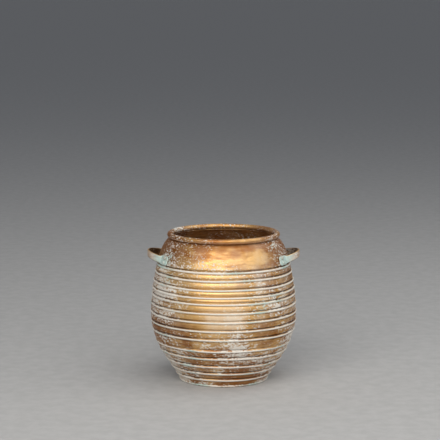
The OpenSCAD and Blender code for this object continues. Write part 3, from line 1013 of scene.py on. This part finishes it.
class PLANTER_OT_wire(Operator):
    """The finish of the wire inside the lip"""

    bl_idname = "planter.wire"
    bl_label = "Lip Wire"

    def execute(self, context):
        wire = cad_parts["rim_wire"]
        wire.data.materials.clear()
        wire.data.materials.append(material_of("lip_wire"))
        return {"FINISHED"}


# Soft square lights: name, place, size, power and tint
LAMPS = [
    ("key", (-0.9, -2.5, 1.9), 2.4, 70, (1.0, 0.97, 0.92)),
    ("overhead", (0.9, -0.2, 2.4), 2.2, 21, (1.0, 0.99, 0.96)),
    ("fill", (1.25, -2.4, 1.5), 2.0, 26, (1.0, 0.99, 0.97)),
    ("side", (2.2, -0.5, 1.0), 1.6, 6, (1.0, 0.98, 0.94)),
]
LAMPS_AIM = Vector((0, 0, 0.12))


class PLANTER_OT_stage(Operator):
    """The floor, the light and the camera"""

    bl_idname = "planter.stage"
    bl_label = "Stage"

    def execute(self, context):
        stage = context.scene.planter_stage
        self.floor(stage)
        self.room(stage)
        for lamp in LAMPS:
            self.light(*lamp)
        self.camera(stage)
        context.scene.view_settings.view_transform = "Standard"
        return {"FINISHED"}

    def floor(self, stage):
        """A flat square with a fine, faint mottle."""
        half = stage.floor_half
        corners = [(x * half, y * half, 0) for x, y in ((-1, -1), (1, -1), (1, 1), (-1, 1))]
        mesh = bpy.data.meshes.new("floor")
        mesh.from_pydata(corners, [], [(0, 1, 2, 3)])
        made, tree, shader = new_material("floor")
        shader["Roughness"].default_value = 0.85
        mottle = tree.noise(scale=45, detail=6, rough=0.6)
        pale = rgba(stage.floor_colour)
        darker = rgba([channel * 0.9 for channel in stage.floor_colour])
        tree.put(tree.mix(tree.band(mottle, 0.3, 0.7), pale, darker), shader["Base Color"])
        mesh.materials.append(made)
        new_object("floor", mesh)

    def room(self, stage):
        """An even, dim light from all round."""
        world = bpy.data.worlds.new("room")
        world.use_nodes = True
        world.node_tree.nodes["Background"].inputs["Color"].default_value = rgba(stage.room_colour)
        bpy.context.scene.world = world

    def light(self, name, place, size, power, tint):
        """A square soft light that faces the belly of the pot."""
        data = bpy.data.lights.new(name, "AREA")
        data.size, data.energy, data.color = size, power, tint
        lamp = new_object(name, data)
        lamp.location = place
        lamp.rotation_euler = (LAMPS_AIM - Vector(place)).to_track_quat("-Z", "Y").to_euler()

    def camera(self, stage):
        """Level across, and dipped towards the pot."""
        data = bpy.data.cameras.new("camera")
        data.lens, data.sensor_width = stage.lens, SENSOR
        eye = new_object("camera", data)
        eye.location = (stage.camera_side, -stage.camera_away, stage.camera_up)
        eye.rotation_euler = (math.pi / 2 - stage.camera_dip, 0, 0)
        bpy.context.scene.camera = eye


class PLANTER_PT_panel(Panel):
    """Lists the pot's parts in the sidebar"""

    bl_idname = "PLANTER_PT_panel"
    bl_label = "Brass Planter"
    bl_space_type = "VIEW_3D"
    bl_region_type = "UI"
    bl_category = "Planter"

    def draw(self, context):
        for maker in MAKERS:
            self.layout.operator(maker.bl_idname)
        for key, kind in GROUPS.items():
            box = self.layout.box()
            for field in kind.__annotations__:
                box.prop(getattr(context.scene, key), field)


MAKERS = [
    PLANTER_OT_shells,
    PLANTER_OT_base,
    PLANTER_OT_handles,
    PLANTER_OT_rivets,
    PLANTER_OT_wire,
    PLANTER_OT_stage,
]
GROUPS = {
    "planter_pot": PotSizes,
    "planter_handle": HandleSizes,
    "planter_patina": PatinaLook,
    "planter_stage": StageSizes,
}


def register():
    for kind in [*GROUPS.values(), *MAKERS, PLANTER_PT_panel]:
        bpy.utils.register_class(kind)
    for key, kind in GROUPS.items():
        setattr(bpy.types.Scene, key, PointerProperty(type=kind))


def unregister():
    for key in GROUPS:
        delattr(bpy.types.Scene, key)
    for kind in [PLANTER_PT_panel, *reversed(MAKERS), *reversed(GROUPS.values())]:
        bpy.utils.unregister_class(kind)


def main():
    """Builds the pot and the stage."""
    register()
    for maker in MAKERS:
        group, call = maker.bl_idname.split(".")
        getattr(getattr(bpy.ops, group), call)()
    bpy.context.view_layer.update()


if __name__ == "__main__":
    main()
